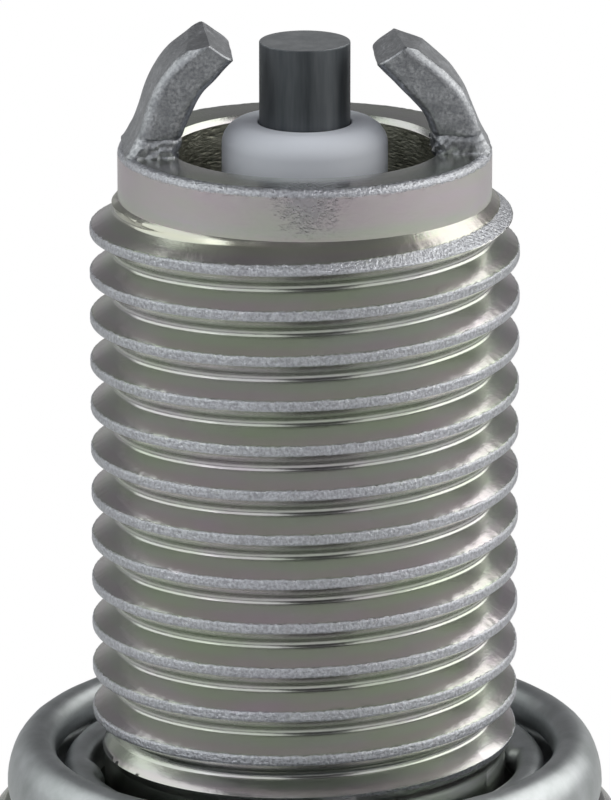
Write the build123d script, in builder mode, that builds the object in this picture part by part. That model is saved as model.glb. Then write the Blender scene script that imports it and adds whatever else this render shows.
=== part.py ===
from build123d import *
import math
import os

os.makedirs("parts", exist_ok=True)

# A spark plug with two side electrodes: M12 x 1.25 thread, 19 mm reach, 16 mm hexagon.
# The grooves of its threads are cut as rings of the true pitch, depth and flank angle.
# Millimetres. The origin is on the plug's axis, in the plane of the shell's gasket seat.
# +Z points out of the firing end, and +X towards the right-hand side electrode.

# ---------------------------------------------------------------- driving dimensions
# Shell, firing end
reach = 19.0                  # gasket seat to rim
crest_diameter = 11.8         # over the crests of the thread
thread_pitch = 1.25
thread_depth = 0.67           # crest to root
crest_width = 0.25
root_width = 0.21
first_groove = 2.53           # gasket seat to the middle of the lowest groove
groove_count = 12
neck_diameter = 11.16         # the blank that the thread was rolled on
neck_length = 1.7             # plain neck over the gasket seat
runout_length = 1.2           # over which the thread fades into the neck
pilot_diameter = 10.24
pilot_length = 1.42           # rim to lead-in cone
lead_in_length = 0.62         # the cone between pilot and crest
mouth_diameter = 7.3          # the shell's bore at the rim
rim_chamfer = 0.14

# Shell, flange to crimped lip
flange_diameter = 17.5
flange_height = 4.4
flange_chamfer = 0.35
crimp_groove_length = 2.2
hex_across_flats = 16.0
hex_length = 9.6
hex_chamfer = 0.6             # along the axis, off the hexagon's corners
lip_length = 2.0
crimp_wall = 1.15             # round the rear bore, in the crimp groove and the lip
lip_thickness = 0.7           # of the lip where it is bent in over the packing
lip_radius = 1.0

# Insulator
nose_diameter = 4.54          # at its tip
nose_projection = 0.65        # past the rim
nose_edge_radius = 0.6
nose_plain_length = 2.6       # before the nose begins to widen
nose_root_diameter = 6.1
nose_root_length = 3.2        # over the seat
seat_depth = 11.4             # rim to the ledge that carries the insulator
ledge_length = 1.6
seat_slope = 30.0             # of the conical seat, from square to the axis
body_diameter = 7.8
rear_bore_depth = 3.0         # gasket seat to where the shell's bore widens
collar_diameter = 11.3
collar_length = 6.2
head_diameter = 10.0
head_length = 22.8            # ceramic standing out behind the shell
head_edge_radius = 0.9
rib_groove_count = 5
rib_pitch = 2.5
rib_groove_depth = 0.5
rib_groove_width = 1.6
rib_margin = 2.6              # last groove to the end of the ceramic

# Centre electrode
electrode_diameter = 2.49
electrode_projection = 2.9    # its face over the rim
electrode_edge_chamfer = 0.05
electrode_head_diameter = 3.3
electrode_head_length = 2.4
core_diameter = 1.5
core_cover = 2.2              # nickel over the end of the copper core

# Conductive column behind the electrode
column_diameter = 3.8         # bore for the seals, the resistor and the stud
column_depth = 16.6           # rim to the shoulder under the electrode's head
lower_seal_length = 3.4       # behind the electrode's head
resistor_length = 9.0
upper_seal_length = 5.6
stud_foot_diameter = 3.0
stud_foot_depth = 3.6         # of the stud's ringed foot in the upper seal
stud_foot_length = 5.0
foot_ring_count = 4
foot_ring_pitch = 0.8
foot_ring_depth = 0.15

# Terminal stud and nut
stud_collar_diameter = 5.9
stud_collar_height = 1.2
stud_thread_diameter = 3.95
stud_thread_pitch = 0.7
stud_thread_depth = 0.38
stud_thread_length = 7.5
stud_first_groove = 0.75      # from the stud's end to the middle of the first groove
stud_groove_count = 9
stud_undercut_length = 0.6
stud_undercut_depth = 0.45
stud_end_chamfer = 0.4
nut_height = 8.3
nut_base_height = 2.0
nut_waist_diameter = 4.9
nut_waist_height = 1.7
nut_barrel_diameter = 6.35
nut_edge_radius = 0.7
nut_base_chamfer = 0.2

# Side electrodes
bar_width = 2.75
bar_edge_radius = 0.25
bar_end_length = 1.06         # the end face, before its outer corner is bevelled
bar_end_slope = 35.0          # of the end face; all four slopes are over the rim's plane
bar_end_bevel = 0.25
bar_outer_tip_slope = 38.5
bar_inner_tip_slope = 46.0
bar_outer_leg_slope = 72.0
bar_inner_leg_slope = 68.0
bar_outer_bend_radius = 3.0
bar_inner_bend_radius = 1.85
bar_foot_inset = 0.15         # pilot's face to the bar's outer face
bar_foot_overhang = 0.03      # of the bar's inner face over the mouth
bar_setting_angle = 3.5       # of the pair, off the X axis
right_spark_gap = 0.71        # free end to centre electrode
right_tip_rise = 2.42         # the end's lower edge over the rim
left_spark_gap = 0.76
left_tip_rise = 2.54

# Gasket, a folded ring of sheet
gasket_sheet = 0.34
gasket_diameter = 16.6
gasket_height = 2.15
gasket_bead_width = 1.35
gasket_curl_radius = 0.35     # of the bead's free edge, turned down inside
gasket_curl_length = 0.3
gasket_lip_height = 1.52
gasket_fold_radius = 0.22
gasket_lip_leg = 0.65         # the lip's free edge, beside the neck
stake_count = 4
stake_width = 1.1
stake_height = 0.4
stake_angle = 190.0           # where the first stake lies, round the axis

# Fits and clearances, each side where they are radial
electrode_clearance = 0.03    # electrode in the ceramic
nose_clearance = 0.12         # ceramic in the shell's ledge
body_clearance = 0.1          # ceramic in the shell's long bore
collar_clearance = 0.1        # ceramic collar in the shell's rear bore
collar_gap = 0.3              # along the axis, over the collar
packing_thickness = 0.35      # along the axis, on the conical seat
packing_clearance = 0.05      # round both edges of the seat packing
ring_clearance = 0.01         # round the two wire rings
lip_clearance = 0.05          # shell's lip over the ceramic head
stud_clearance = 0.1          # stud's shank in the ceramic
nut_clearance = 0.03          # nut's bore over the stud's crests
gasket_clearance = 0.35       # gasket's lip over the neck
stake_clearance = 0.1         # gasket's stakes over the neck
cut_overrun = 0.14            # of a turning cut past the face it enters

# ---------------------------------------------------------------- what follows from them
seat_rise = math.tan(math.radians(seat_slope))

crest_r = crest_diameter / 2
root_r = crest_r - thread_depth
neck_r = neck_diameter / 2
pilot_r = pilot_diameter / 2
mouth_r = mouth_diameter / 2
flange_r = flange_diameter / 2
nose_r = nose_diameter / 2
nose_root_r = nose_root_diameter / 2
body_r = body_diameter / 2
collar_r = collar_diameter / 2
head_r = head_diameter / 2
electrode_r = electrode_diameter / 2
electrode_head_r = electrode_head_diameter / 2
core_r = core_diameter / 2
column_r = column_diameter / 2
stud_foot_r = stud_foot_diameter / 2
stud_collar_r = stud_collar_diameter / 2
stud_crest_r = stud_thread_diameter / 2
stud_root_r = stud_crest_r - stud_thread_depth
stud_undercut_r = stud_crest_r - stud_undercut_depth
nut_waist_r = nut_waist_diameter / 2
nut_barrel_r = nut_barrel_diameter / 2

electrode_bore_r = electrode_r + electrode_clearance
ledge_r = nose_root_r + nose_clearance
long_bore_r = body_r + body_clearance
rear_bore_r = collar_r + collar_clearance
crimp_r = rear_bore_r + crimp_wall
lip_bore_r = head_r + lip_clearance
stud_shank_r = column_r - stud_clearance
nut_bore_r = stud_crest_r + nut_clearance
hex_corner_r = hex_across_flats / math.sqrt(3)

# Levels along the axis
nose_z = reach + nose_projection
pilot_z = reach - pilot_length
runout_z = neck_length + runout_length
seat_z = reach - seat_depth
ledge_z = seat_z + ledge_length
rear_cone_z = -rear_bore_depth
flange_z = -flange_height
hex_z = flange_z - crimp_groove_length
hex_end_z = hex_z - hex_length
lip_z = hex_end_z - lip_length
lip_inner_z = lip_z + lip_thickness
head_end_z = lip_z - head_length
collar_z = rear_cone_z - collar_gap - (collar_r - body_r)
collar_end_z = collar_z - collar_length
head_z = collar_end_z - (collar_r - head_r)
column_z = reach - column_depth
electrode_end_z = column_z - electrode_head_length
lower_seal_z = electrode_end_z - lower_seal_length
resistor_z = lower_seal_z - resistor_length
upper_seal_z = resistor_z - upper_seal_length
stud_foot_z = upper_seal_z + stud_foot_depth
stud_shank_z = stud_foot_z - stud_foot_length
stud_seat_z = head_end_z - stud_collar_height
stud_end_z = stud_seat_z - stud_thread_length
nut_end_z = stud_seat_z - nut_height


def shell_seat_level(radius):
    """Height of the shell's conical seat at a radius."""
    return seat_z - seat_rise * (radius - ledge_r)


def ceramic_seat_level(radius):
    """Height of the insulator's shoulder at a radius: the shell's cone, one packing lower."""
    return shell_seat_level(radius) - packing_thickness


def polar(radius, angle):
    """A point of a plan view at a radius and an angle in degrees."""
    return radius * math.cos(math.radians(angle)), radius * math.sin(math.radians(angle))


def grooves(crest, root, pitch, crest_land, root_land, first, count):
    """Outline of a thread's grooves, from the first one upwards, each cut as a ring round the axis."""
    half_mouth = (pitch - crest_land) / 2
    half_floor = root_land / 2
    for level in [first + step * pitch for step in range(count)]:
        yield crest, level - half_mouth
        yield root, level - half_floor
        yield root, level + half_floor
        yield crest, level + half_mouth


def write(piece, name):
    """Labels a finished piece and writes its STEP file."""
    piece.label = name
    export_step(piece, f"parts/{name}.step")


# ---------------------------------------------------------------- shell
# The rolled length: a rod with the thread's grooves, whose crests are turned down to the lead-in cone
# and fade into the neck, while the grooves' floor rises out of it on a cone of its own.
lead_in_slope = (crest_r - pilot_r) / lead_in_length
fade_slope = (crest_r - neck_r) / runout_length
outer_r = crest_r + thread_depth
thread = list(
    grooves(crest_r, root_r, thread_pitch, crest_width, root_width, first_groove, groove_count)
)
with BuildPart() as rolled_length:
    with BuildSketch(Plane.XZ):
        with BuildLine():
            Polyline(
                (0, neck_length),
                (crest_r, neck_length),
                *thread,
                (crest_r, pilot_z),
                (0, pilot_z),
                close=True,
            )
        make_face()
    revolve(axis=Axis.Z)
    with BuildSketch(Plane.XZ):
        with BuildLine():
            Polyline(
                (pilot_r, pilot_z),
                (outer_r, pilot_z),
                (outer_r, pilot_z - (outer_r - pilot_r) / lead_in_slope),
                close=True,
            )
        make_face()
        with BuildLine():
            Polyline(
                (neck_r - fade_slope * cut_overrun, neck_length - cut_overrun),
                (outer_r, neck_length - cut_overrun),
                (outer_r, neck_length + (outer_r - neck_r) / fade_slope),
                close=True,
            )
        make_face()
    revolve(axis=Axis.Z, mode=Mode.SUBTRACT)
    with BuildSketch(Plane.XZ):
        with BuildLine():
            Polyline((0, neck_length), (neck_r, neck_length), (root_r, runout_z), (0, runout_z), close=True)
        make_face()
    revolve(axis=Axis.Z)

# The hexagon, with its corners turned off at both ends.
hex_edge_r = hex_across_flats / 2
with BuildPart() as hexagon:
    with BuildSketch(Plane.XY.offset(hex_end_z)):
        RegularPolygon(hex_edge_r, 6, major_radius=False)
    extrude(amount=hex_length)
    with BuildSketch(Plane.XZ):
        with BuildLine():
            Polyline(
                (0, hex_z),
                (hex_edge_r, hex_z),
                (hex_corner_r, hex_z - hex_chamfer),
                (hex_corner_r, hex_end_z + hex_chamfer),
                (hex_edge_r, hex_end_z),
                (0, hex_end_z),
                close=True,
            )
        make_face()
    revolve(axis=Axis.Z, mode=Mode.INTERSECT)

core_line_r = (root_r + mouth_r) / 2                             # inside the thread's wall
with BuildPart() as shell:
    with BuildSketch(Plane.XZ):
        with BuildLine():
            Polyline(
                (0, reach),
                (pilot_r - rim_chamfer, reach),
                (pilot_r, reach - rim_chamfer),
                (pilot_r, pilot_z),
                (core_line_r, pilot_z),
                (core_line_r, neck_length),
                (neck_r, neck_length),
                (neck_r, 0),
                (flange_r - flange_chamfer, 0),
                (flange_r, -flange_chamfer),
                (flange_r, flange_z + flange_chamfer),
                (flange_r - flange_chamfer, flange_z),
                (crimp_r, flange_z),
                (crimp_r, lip_z),
                (0, lip_z),
                close=True,
            )
        make_face()
    revolve(axis=Axis.Z)
    fillet(shell.edges().group_by(Axis.Z)[0], lip_radius)
    add(hexagon.part)
    add(rolled_length.part)
    with BuildSketch(Plane.XZ):
        with BuildLine():
            Polyline(
                (0, reach),
                (mouth_r + rim_chamfer, reach),
                (mouth_r, reach - rim_chamfer),
                (mouth_r, ledge_z + (mouth_r - ledge_r)),
                (ledge_r, ledge_z),
                (ledge_r, seat_z),
                (long_bore_r, shell_seat_level(long_bore_r)),
                (long_bore_r, rear_cone_z),
                (rear_bore_r, rear_cone_z - (rear_bore_r - long_bore_r)),
                (rear_bore_r, lip_inner_z),
                (lip_bore_r, lip_inner_z),
                (lip_bore_r, lip_z),
                (0, lip_z),
                close=True,
            )
        make_face()
    revolve(axis=Axis.Z, mode=Mode.SUBTRACT)
write(shell.part, "shell")

# ---------------------------------------------------------------- insulator
rib_groove_r = (rib_groove_width**2 / 4 + rib_groove_depth**2) / (2 * rib_groove_depth)
with BuildPart() as insulator:
    with BuildSketch(Plane.XZ):
        with BuildLine():
            Polyline(
                (electrode_bore_r, nose_z),
                (nose_r, nose_z),
                (nose_r, nose_z - nose_plain_length),
                (nose_root_r, seat_z + nose_root_length),
                (nose_root_r, ceramic_seat_level(nose_root_r)),
                (body_r, ceramic_seat_level(body_r)),
                (body_r, rear_cone_z - collar_gap),
                (collar_r, collar_z),
                (collar_r, collar_end_z),
                (head_r, head_z),
                (head_r, head_end_z),
                (column_r, head_end_z),
                (column_r, column_z - (column_r - electrode_bore_r)),
                (electrode_bore_r, column_z),
                close=True,
            )
        make_face()
    revolve(axis=Axis.Z)
    fillet(insulator.edges().group_by(Axis.Z)[-1].sort_by(SortBy.RADIUS)[-1], nose_edge_radius)
    fillet(insulator.edges().group_by(Axis.Z)[0].sort_by(SortBy.RADIUS)[-1], head_edge_radius)
    with BuildSketch(Plane.XZ):
        for step in range(rib_groove_count):
            rib_z = head_end_z + rib_margin + step * rib_pitch
            with Locations((head_r + rib_groove_r - rib_groove_depth, rib_z)):
                Circle(rib_groove_r)
    revolve(axis=Axis.Z, mode=Mode.SUBTRACT)
write(insulator.part, "insulator")

# ---------------------------------------------------------------- centre electrode and its column
electrode_z = reach + electrode_projection
with BuildPart() as centre_electrode:
    with BuildSketch(Plane.XZ):
        with BuildLine():
            Polyline(
                (0, electrode_z),
                (electrode_r, electrode_z),
                (electrode_r, column_z + electrode_clearance),
                (electrode_head_r, column_z - (electrode_head_r - electrode_bore_r)),
                (electrode_head_r, electrode_end_z),
                (core_r, electrode_end_z),
                (core_r, electrode_z - core_cover),
                (0, electrode_z - core_cover),
                close=True,
            )
        make_face()
    revolve(axis=Axis.Z)
    chamfer(centre_electrode.edges().group_by(Axis.Z)[-1], electrode_edge_chamfer)
write(centre_electrode.part, "centre_electrode")

with BuildPart() as centre_electrode_core:
    with BuildSketch(Plane.XY.offset(electrode_end_z)):
        Circle(core_r)
    extrude(amount=electrode_z - core_cover - electrode_end_z)
write(centre_electrode_core.part, "centre_electrode_core")

with BuildPart() as lower_glass_seal:
    with BuildSketch(Plane.XZ):
        with BuildLine():
            Polyline(
                (0, electrode_end_z),
                (electrode_head_r, electrode_end_z),
                (electrode_head_r, column_z - (electrode_head_r - electrode_bore_r)),
                (column_r, column_z - (column_r - electrode_bore_r)),
                (column_r, lower_seal_z),
                (0, lower_seal_z),
                close=True,
            )
        make_face()
    revolve(axis=Axis.Z)
write(lower_glass_seal.part, "lower_glass_seal")

with BuildPart() as resistor:
    with BuildSketch(Plane.XY.offset(resistor_z)):
        Circle(column_r)
    extrude(amount=resistor_length)
write(resistor.part, "resistor")

with BuildPart() as upper_glass_seal:
    with BuildSketch(Plane.XY.offset(upper_seal_z)):
        Circle(column_r)
    extrude(amount=upper_seal_length)
    with BuildSketch(Plane.XY.offset(upper_seal_z)):
        Circle(stud_foot_r)
    extrude(amount=stud_foot_depth, mode=Mode.SUBTRACT)
write(upper_glass_seal.part, "upper_glass_seal")

# ---------------------------------------------------------------- terminal
thread_top_z = stud_seat_z - stud_undercut_length
stud_grooves = list(
    grooves(
        stud_crest_r, stud_root_r, stud_thread_pitch, stud_thread_pitch / 8, stud_thread_pitch / 6,
        stud_end_z + stud_first_groove, stud_groove_count,
    )
)
with BuildPart() as terminal_stud:
    with BuildSketch(Plane.XZ):
        with BuildLine():
            Polyline(
                (0, stud_foot_z),
                (stud_foot_r, stud_foot_z),
                (stud_foot_r, stud_shank_z),
                (stud_shank_r, stud_shank_z),
                (stud_shank_r, head_end_z),
                (stud_collar_r, head_end_z),
                (stud_collar_r, stud_seat_z),
                (stud_undercut_r, stud_seat_z),
                (stud_undercut_r, thread_top_z),
                (stud_crest_r, thread_top_z),
                *reversed(stud_grooves),
                (stud_crest_r, stud_end_z),
                (0, stud_end_z),
                close=True,
            )
        make_face()
    revolve(axis=Axis.Z)
    with BuildSketch(Plane.XZ):
        for step in range(1, foot_ring_count + 1):
            with Locations((stud_foot_r, stud_foot_z - step * foot_ring_pitch)):
                Rectangle(foot_ring_depth * math.sqrt(2), foot_ring_depth * math.sqrt(2), rotation=45)
    revolve(axis=Axis.Z, mode=Mode.SUBTRACT)
    with BuildSketch(Plane.XZ):
        with BuildLine():
            Polyline(
                (stud_crest_r - stud_end_chamfer, stud_end_z),
                (stud_crest_r + stud_end_chamfer, stud_end_z + 2 * stud_end_chamfer),
                (stud_crest_r + stud_end_chamfer, stud_end_z),
                close=True,
            )
        make_face()
    revolve(axis=Axis.Z, mode=Mode.SUBTRACT)
write(terminal_stud.part, "terminal_stud")

nut_waist_z = stud_seat_z - nut_base_height
nut_barrel_z = nut_waist_z - nut_waist_height
with BuildPart() as terminal_nut:
    with BuildSketch(Plane.XZ):
        with BuildLine():
            Polyline(
                (nut_bore_r, stud_seat_z),
                (nut_barrel_r - nut_base_chamfer, stud_seat_z),
                (nut_barrel_r, stud_seat_z - nut_base_chamfer),
                (nut_barrel_r, nut_waist_z),
                (nut_waist_r, nut_waist_z),
                (nut_waist_r, nut_barrel_z),
                (nut_barrel_r, nut_barrel_z - (nut_barrel_r - nut_waist_r) / 2),
                (nut_barrel_r, nut_end_z),
                (nut_bore_r, nut_end_z),
                close=True,
            )
        make_face()
    revolve(axis=Axis.Z)
    fillet(terminal_nut.edges().group_by(Axis.Z)[0].sort_by(SortBy.RADIUS)[-1], nut_edge_radius)
write(terminal_nut.part, "terminal_nut")

# ---------------------------------------------------------------- packing between ceramic and shell
packing_inner_r = ledge_r + packing_clearance
packing_outer_r = body_r - packing_clearance
with BuildPart() as seat_packing:
    with BuildSketch(Plane.XZ):
        with BuildLine():
            Polyline(
                (packing_inner_r, shell_seat_level(packing_inner_r)),
                (packing_outer_r, shell_seat_level(packing_outer_r)),
                (packing_outer_r, ceramic_seat_level(packing_outer_r)),
                (packing_inner_r, ceramic_seat_level(packing_inner_r)),
                close=True,
            )
        make_face()
    revolve(axis=Axis.Z)
write(seat_packing.part, "seat_packing")

wire_r = (rear_bore_r - head_r) / 2 - ring_clearance
ring_middle_r = (rear_bore_r + head_r) / 2
for ring_name, ring_z in (
    ("lower_packing_ring", head_z - wire_r),
    ("upper_packing_ring", lip_inner_z + wire_r),
):
    with BuildPart() as packing_ring:
        with BuildSketch(Plane.XZ):
            with Locations((ring_middle_r, ring_z)):
                Circle(wire_r)
        revolve(axis=Axis.Z)
    write(packing_ring.part, ring_name)

talc_top_z = head_z - 2 * wire_r
talc_bottom_z = lip_inner_z + 2 * wire_r
with BuildPart() as talc_seal:
    with BuildSketch(Plane.XY.offset(talc_bottom_z)):
        Circle(rear_bore_r)
        Circle(head_r, mode=Mode.SUBTRACT)
    extrude(amount=talc_top_z - talc_bottom_z)
write(talc_seal.part, "talc_seal")

# ---------------------------------------------------------------- side electrodes
def downhill(slope):
    """The direction outwards and down at a slope, in the radial plane."""
    return Vector(math.cos(math.radians(slope)), -math.sin(math.radians(slope)))


def crossing(point, direction, other_point, other_direction):
    """Where two lines of the radial plane cross."""
    between = other_point - point
    share = between.cross(other_direction).Z / direction.cross(other_direction).Z
    return point + direction * share


outer_foot = Vector(pilot_r - bar_foot_inset, reach)
inner_foot = Vector(mouth_r - bar_foot_overhang, reach)
for side, gap, rise, turn in (
    ("right", right_spark_gap, right_tip_rise, bar_setting_angle),
    ("left", left_spark_gap, left_tip_rise, bar_setting_angle + 180),
):
    # Each face runs straight from the free end to the bend, and straight again down to the rim.
    inner_tip = Vector(electrode_r + gap, reach + rise)
    outer_tip = inner_tip + downhill(-bar_end_slope) * bar_end_length
    outer_bend = crossing(
        outer_tip, downhill(bar_outer_tip_slope), outer_foot, downhill(bar_outer_leg_slope)
    )
    inner_bend = crossing(
        inner_tip, downhill(bar_inner_tip_slope), inner_foot, downhill(bar_inner_leg_slope)
    )
    radial_plane = Plane.XZ.rotated((0, 0, turn))
    with BuildPart() as ground_electrode:
        with BuildSketch(radial_plane) as profile:
            with BuildLine():
                Polyline(inner_foot, inner_bend, inner_tip, outer_tip, outer_bend, outer_foot, close=True)
            make_face()
            for bend, bend_radius in (
                (outer_bend, bar_outer_bend_radius),
                (inner_bend, bar_inner_bend_radius),
            ):
                fillet(profile.vertices().sort_by_distance(bend)[0], bend_radius)
        extrude(amount=bar_width / 2, both=True)
        long_edges = ground_electrode.edges().filter_by(GeomType.CIRCLE)
        fillet(long_edges, bar_edge_radius)
        with BuildSketch(radial_plane):
            with BuildLine():
                Polyline(
                    outer_tip - downhill(-bar_end_slope) * bar_end_bevel,
                    outer_tip + downhill(-bar_end_slope) * bar_end_bevel,
                    outer_tip + downhill(bar_outer_tip_slope) * bar_end_bevel,
                    close=True,
                )
            make_face()
        extrude(amount=bar_width / 2, both=True, mode=Mode.SUBTRACT)
        with BuildSketch(Plane.XY.offset(reach)):
            Circle(pilot_r)
        extrude(amount=electrode_projection * 2, mode=Mode.INTERSECT)
    write(ground_electrode.part, f"ground_electrode_{side}")

# ---------------------------------------------------------------- gasket
half_sheet = gasket_sheet / 2
lip_line_r = neck_r + gasket_clearance + half_sheet              # middle of the sheet, everywhere below
fold_line_r = lip_line_r + 2 * gasket_fold_radius
fold_line_z = gasket_lip_height - half_sheet - gasket_fold_radius
bead_line_r = gasket_diameter / 2 - half_sheet
bead_top_z = gasket_height - half_sheet
bead_inner_r = gasket_diameter / 2 - gasket_bead_width + half_sheet
bead_turn_r = bead_inner_r + gasket_curl_radius
plate_start_r = fold_line_r + gasket_sheet
stake_inner_r = neck_r + stake_clearance
with BuildPart() as gasket:
    with BuildSketch(Plane.XZ):
        with BuildLine():
            Line((lip_line_r, fold_line_z - gasket_lip_leg), (lip_line_r, fold_line_z))
            ThreePointArc(
                (lip_line_r, fold_line_z),
                (lip_line_r + gasket_fold_radius, fold_line_z + gasket_fold_radius),
                (fold_line_r, fold_line_z),
            )
            Line((fold_line_r, fold_line_z), (plate_start_r, half_sheet))
            Line((plate_start_r, half_sheet), (bead_turn_r, half_sheet))
            ThreePointArc(
                (bead_turn_r, half_sheet),
                (bead_line_r, (half_sheet + bead_top_z) / 2),
                (bead_turn_r, bead_top_z),
            )
            ThreePointArc(
                (bead_turn_r, bead_top_z),
                (
                    bead_turn_r - gasket_curl_radius * math.sqrt(0.5),
                    bead_top_z - gasket_curl_radius * (1 - math.sqrt(0.5)),
                ),
                (bead_inner_r, bead_top_z - gasket_curl_radius),
            )
            Line(
                (bead_inner_r, bead_top_z - gasket_curl_radius),
                (bead_inner_r, bead_top_z - gasket_curl_radius - gasket_curl_length),
            )
        trace(line_width=gasket_sheet)
    revolve(axis=Axis.Z)
    with Locations((0, 0, fold_line_z - stake_height)):
        with PolarLocations(stake_inner_r, stake_count, start_angle=stake_angle):
            Box(
                lip_line_r - stake_inner_r, stake_width, stake_height,
                align=(Align.MIN, Align.CENTER, Align.MIN),
            )
write(gasket.part, "gasket")
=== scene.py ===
# %% [markdown]
# # A spark plug with two side electrodes
# A spark plug is a steel shell crimped round a ceramic insulator. The firing end stands up here: a thread
# to screw it into the cylinder head, a rim, two bent side electrodes and a centre electrode between them.
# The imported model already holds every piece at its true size. This lesson puts finely made pieces in the
# places of the plain ones and gives each its finish. Everything is in metres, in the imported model's frame.

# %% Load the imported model
import math

import bmesh
import bpy
import numpy as np
from mathutils import Matrix, Vector, noise


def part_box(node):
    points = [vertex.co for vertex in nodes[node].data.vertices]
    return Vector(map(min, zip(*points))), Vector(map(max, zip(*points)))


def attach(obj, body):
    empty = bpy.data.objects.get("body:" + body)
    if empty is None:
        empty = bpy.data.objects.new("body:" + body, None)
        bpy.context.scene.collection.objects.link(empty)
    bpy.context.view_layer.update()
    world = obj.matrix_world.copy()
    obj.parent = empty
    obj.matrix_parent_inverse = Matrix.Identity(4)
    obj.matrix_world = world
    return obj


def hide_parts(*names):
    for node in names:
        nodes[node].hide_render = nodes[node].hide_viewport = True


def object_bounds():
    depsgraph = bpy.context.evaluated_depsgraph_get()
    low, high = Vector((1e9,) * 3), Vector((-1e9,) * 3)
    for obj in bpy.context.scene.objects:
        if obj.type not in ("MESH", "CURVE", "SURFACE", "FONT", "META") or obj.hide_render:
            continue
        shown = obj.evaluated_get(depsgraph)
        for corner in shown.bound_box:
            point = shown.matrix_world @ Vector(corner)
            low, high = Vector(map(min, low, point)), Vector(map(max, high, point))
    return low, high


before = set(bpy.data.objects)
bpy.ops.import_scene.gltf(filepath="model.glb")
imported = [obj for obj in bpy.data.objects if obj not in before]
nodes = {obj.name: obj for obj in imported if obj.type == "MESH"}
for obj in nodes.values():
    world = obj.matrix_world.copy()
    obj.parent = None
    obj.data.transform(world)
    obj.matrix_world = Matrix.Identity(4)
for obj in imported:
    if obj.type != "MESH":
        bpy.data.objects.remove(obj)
cad_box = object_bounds()
mm = 0.001
# Without a fixed seed the uneven edges would come out differently in each run.
noise.seed_set(7)

# %% [markdown]
# ## Sizes
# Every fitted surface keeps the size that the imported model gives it, so the new pieces touch where the old
# ones did. What a box can tell is read from the model. The rest, such as the thread's pitch, is written
# once here, because a box can't say how deep a groove is.

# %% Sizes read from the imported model
rim_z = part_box("ground_electrode_right")[0].z
seat_z = 0.0
flange_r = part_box("shell")[1].y
shell_end_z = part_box("shell")[0].z
nose_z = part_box("insulator")[1].z
head_end_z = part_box("insulator")[0].z
collar_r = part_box("insulator")[1].x
electrode_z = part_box("centre_electrode")[1].z
gasket_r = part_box("gasket")[1].x
gasket_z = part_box("gasket")[1].z
nut_seat_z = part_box("terminal_nut")[1].z
nut_end_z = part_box("terminal_nut")[0].z
nut_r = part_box("terminal_nut")[1].x
print("rim at", round(rim_z / mm, 2), "mm, plug's foot at", round(nut_end_z / mm, 2), "mm")

# %% Sizes of the shell's firing end
crest_r = 5.9 * mm
root_r = 5.23 * mm
pitch = 1.25 * mm
groove_angle = 242.0
neck_r = 5.58 * mm
neck_z = 1.7 * mm
fade_length = 0.75 * mm
pilot_r = 5.12 * mm
pilot_z = rim_z - 1.42 * mm
lead_in_length = 0.62 * mm
mouth_r = 3.65 * mm
round_columns = 400

# %% [markdown]
# ## Formulas in node trees
# Both the thread and the finishes are rules: a radius that follows an angle, a colour that follows a
# height. In a node tree each plus or minus is a Math node, and thirty of them are hard to read. The helper
# below lets a line of Python read as the formula it is, and places the Math node behind each sign.


# %% A value in a node tree that can be calculated with
def plug_in(tree, value, socket):
    """Feeds a socket: with a link when the value flows from a node, and as a plain setting otherwise."""
    if isinstance(value, Value):
        value = value.socket
    if isinstance(value, bpy.types.NodeSocket):
        tree.links.new(value, socket)
    else:
        socket.default_value = value


def math_node(tree, operation, *values):
    """Places a Math node, feeds it from left to right and returns its result."""
    node = tree.nodes.new("ShaderNodeMath")
    node.operation = operation
    for socket, value in zip(node.inputs, values):
        plug_in(tree, value, socket)
    return Value(tree, node.outputs[0])


class Value:
    """A number flowing through a node tree. Arithmetic on it places Math nodes."""

    def __init__(self, tree, socket):
        self.tree = tree
        self.socket = socket

    def calculated(self, operation, *others):
        return math_node(self.tree, operation, self, *others)

    def __add__(self, other):
        return self.calculated("ADD", other)

    def __sub__(self, other):
        return self.calculated("SUBTRACT", other)

    def __mul__(self, other):
        return self.calculated("MULTIPLY", other)

    def __truediv__(self, other):
        return self.calculated("DIVIDE", other)

    def __rsub__(self, other):
        return math_node(self.tree, "SUBTRACT", other, self)

    def __rtruediv__(self, other):
        return math_node(self.tree, "DIVIDE", other, self)

    __radd__ = __add__
    __rmul__ = __mul__

    def least(self, other):
        return self.calculated("MINIMUM", other)

    def most(self, other):
        return self.calculated("MAXIMUM", other)

    def share(self):
        """The value, kept from 0 to 1."""
        return self.most(0).least(1)


# %% Placing nodes, and reading what they give
def add_node(tree, kind, inputs=None, **settings):
    """Places a node, with its settings and what feeds its inputs, and returns it."""
    node = tree.nodes.new(kind)
    for name, value in settings.items():
        setattr(node, name, value)
    for name, value in (inputs or {}).items():
        plug_in(tree, value, node.inputs[name])
    return node


def value_of(tree, node, output=0):
    return Value(tree, node.outputs[output])


def joined(tree, x, y, z):
    """A vector from three values."""
    return add_node(tree, "ShaderNodeCombineXYZ", {"X": x, "Y": y, "Z": z}).outputs[0]


def mixed(tree, share, first, second):
    """One colour fading into another. A colour is a socket or four numbers."""
    # A Mix node has sockets of every kind in one row. Its colours go in at 6 and 7, and come out at 2.
    colours = {"Factor": share, 6: first, 7: second}
    return add_node(tree, "ShaderNodeMix", colours, data_type="RGBA").outputs[2]


def curve_through(tree, value, points):
    """A value read off a line through some points, straight from one to the next."""
    node = add_node(tree, "ShaderNodeFloatCurve", {"Value": value})
    curve = node.mapping.curves[0]
    curve.points[0].location, curve.points[-1].location = points[0], points[-1]
    for point in points[1:-1]:
        curve.points.new(*point)
    for point in curve.points:
        point.handle_type = "VECTOR"
    node.mapping.update()
    return value_of(tree, node)


# %% [markdown]
# ## Finishes: effects that several materials share
# Metal looks real when three things vary a little at once: its colour, how sharp its reflections are, and
# the surface's own fine relief. Two node groups are built once and placed in each material with other
# values. `mottle` gives soft patches, as on plating and fired ceramic. `grain` gives fine pits for a bump.


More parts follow.
